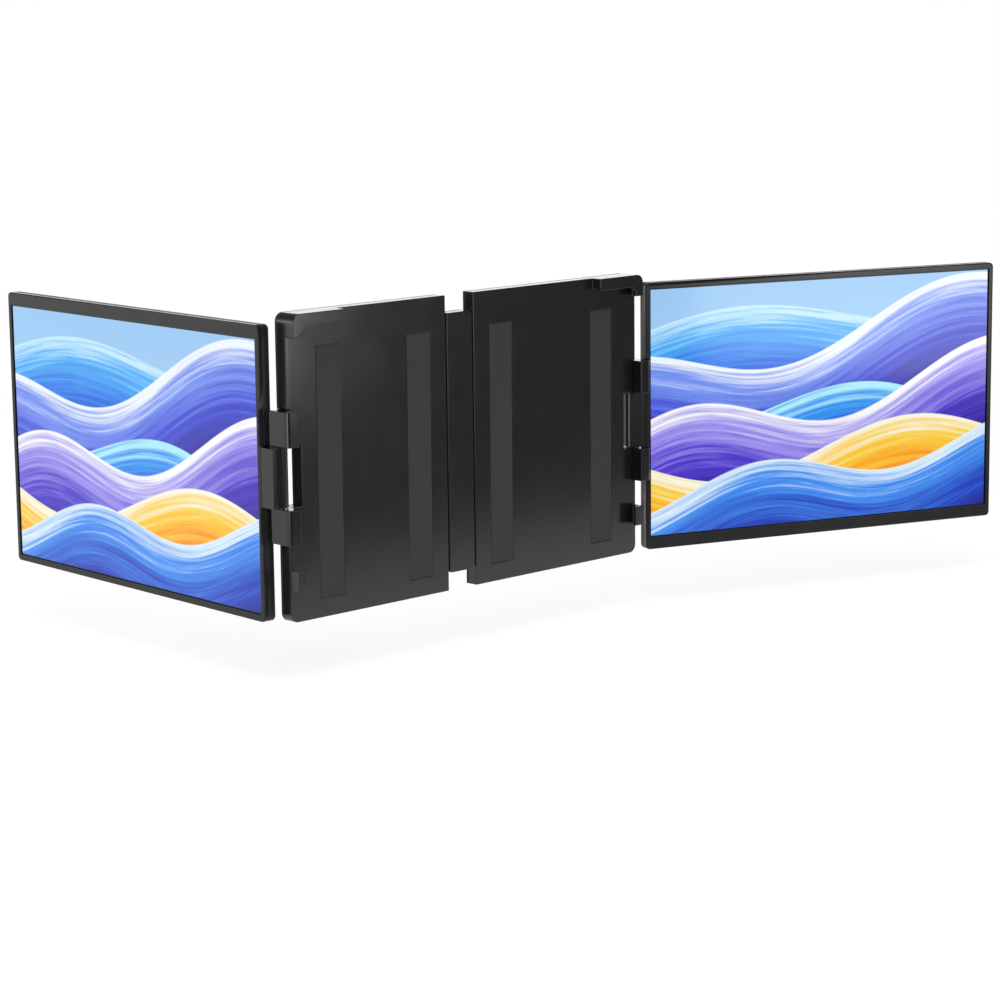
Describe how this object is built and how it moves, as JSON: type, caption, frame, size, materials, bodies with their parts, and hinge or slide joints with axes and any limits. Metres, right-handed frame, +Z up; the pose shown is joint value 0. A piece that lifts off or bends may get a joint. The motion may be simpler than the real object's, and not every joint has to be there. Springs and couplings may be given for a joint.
{
  "type": "laptop screen extender",
  "caption": "Spreading frame that clamps behind a laptop lid, with hooked corners, upright side hinges that carry slim portable screens, and a folding rear leg",
  "frame": {"origin": "middle of the spine's front face, against which the back of the laptop lid rests", "axes": "+X to the right as the user sees it, +Y away from the user, +Z up along the hinge axes"},
  "size_m": [0.5941, 0.391, 0.191],
  "materials": {
    "satin_black": "satin moulded plastic with a very fine grain",
    "black_metal": "powder-coated die casting, satin black",
    "steel": "turned steel, plain",
    "rail_metal": "drawn aluminium, clear anodised",
    "black_resin": "black acetal resin, waxy",
    "white_resin": "natural acetal resin, slightly waxy",
    "dark_steel": "blackened steel screws",
    "soft_pad": "thin dense foam rubber",
    "rubber": "moulded rubber",
    "display_glass": "clear cover glass over a lit liquid crystal layer",
    "tray_metal": "pressed aluminium sheet",
    "circuit_board": "green solder mask",
    "port_metal": "drawn steel sockets, nickel plated",
    "speaker_plastic": "glass-filled black plastic",
    "button_plastic": "satin black moulded plastic"
  },
  "bodies": {
    "spine": {"spine_front": "satin_black", "spine_back": "satin_black", "guide_rails": "rail_metal", "pinion_axle": "steel", "spine_screws": "dark_steel", "leg_pin": "steel"},
    "pinion": {"sync_pinion": "white_resin"},
    "leg": {"folding_leg": "black_metal", "leg_foot": "rubber"},
    "left_frame": {"left_front_shell": "satin_black", "left_back_shell": "satin_black", "left_hinge_bracket": "black_metal", "left_hinge_pin": "steel", "left_hinge_washers": "black_resin", "left_rack": "white_resin", "left_glides": "white_resin", "left_frame_screws": "dark_steel", "left_lid_pads": "soft_pad"},
    "right_frame": {"right_front_shell": "satin_black", "right_back_shell": "satin_black", "right_hinge_bracket": "black_metal", "right_hinge_pin": "steel", "right_hinge_washers": "black_resin", "right_rack": "white_resin", "right_glides": "white_resin", "right_frame_screws": "dark_steel", "right_lid_pads": "soft_pad"},
    "left_screen": {"left_bezel": "satin_black", "left_display": "display_glass", "left_backlight": "tray_metal", "left_rear_cover": "satin_black", "left_knuckle": "black_metal", "left_driver_board": "circuit_board", "left_ports": "port_metal", "left_speakers": "speaker_plastic", "left_screen_screws": "dark_steel"},
    "right_screen": {"right_bezel": "satin_black", "right_display": "display_glass", "right_backlight": "tray_metal", "right_rear_cover": "satin_black", "right_knuckle": "black_metal", "right_driver_board": "circuit_board", "right_ports": "port_metal", "right_speakers": "speaker_plastic", "right_screen_screws": "dark_steel"},
    "left_power_button_body": {"left_power_button": "button_plastic"},
    "left_plus_button_body": {"left_plus_button": "button_plastic"},
    "left_minus_button_body": {"left_minus_button": "button_plastic"},
    "right_power_button_body": {"right_power_button": "button_plastic"},
    "right_plus_button_body": {"right_plus_button": "button_plastic"},
    "right_minus_button_body": {"right_minus_button": "button_plastic"}
  },
  "joints": [
    {"name": "right_frame_slide", "type": "slide", "parent": "spine", "child": "right_frame", "axis": [1, 0, 0], "range_m": [-0.001, 0.03]},
    {"name": "left_frame_slide", "type": "slide", "parent": "spine", "child": "left_frame", "axis": [-1, 0, 0], "range_m": [-0.001, 0.03]},
    {"name": "pinion_spin", "type": "hinge", "parent": "spine", "child": "pinion", "pos_m": [0, 0.0048, 0], "axis": [0, -1, 0], "range_deg": [-8.19, 245.56]},
    {"name": "leg_fold", "type": "hinge", "parent": "spine", "child": "leg", "pos_m": [0, 0.0132, -0.066], "axis": [-1, 0, 0], "range_deg": [0, 132]},
    {"name": "left_screen_swing", "type": "hinge", "parent": "left_frame", "child": "left_screen", "pos_m": [-0.1498, 0.0059, -0.0044], "axis": [0, 0, 1], "range_deg": [-21.8, 121.2]},
    {"name": "right_screen_swing", "type": "hinge", "parent": "right_frame", "child": "right_screen", "pos_m": [0.1684, 0.0059, -0.0044], "axis": [0, 0, -1], "range_deg": [-135.2, 7.8]},
    {"name": "left_power_press", "type": "slide", "parent": "left_screen", "child": "left_power_button_body", "axis": [-0.0558, -0.9984, 0], "range_m": [0, 0.0004], "stiffness_N_per_m": 600},
    {"name": "left_plus_press", "type": "slide", "parent": "left_screen", "child": "left_plus_button_body", "axis": [-0.0558, -0.9984, 0], "range_m": [0, 0.0004], "stiffness_N_per_m": 600},
    {"name": "left_minus_press", "type": "slide", "parent": "left_screen", "child": "left_minus_button_body", "axis": [-0.0558, -0.9984, 0], "range_m": [0, 0.0004], "stiffness_N_per_m": 600},
    {"name": "right_power_press", "type": "slide", "parent": "right_screen", "child": "right_power_button_body", "axis": [-0.9385, 0.3453, 0], "range_m": [0, 0.0004], "stiffness_N_per_m": 600},
    {"name": "right_plus_press", "type": "slide", "parent": "right_screen", "child": "right_plus_button_body", "axis": [-0.9385, 0.3453, 0], "range_m": [0, 0.0004], "stiffness_N_per_m": 600},
    {"name": "right_minus_press", "type": "slide", "parent": "right_screen", "child": "right_minus_button_body", "axis": [-0.9385, 0.3453, 0], "range_m": [0, 0.0004], "stiffness_N_per_m": 600}
  ],
  "couplings": [
    {"joint": "left_frame_slide", "follows": "right_frame_slide", "ratio": 1},
    {"joint": "pinion_spin", "follows": "right_frame_slide", "rad_per_m": 142.86}
  ]
}
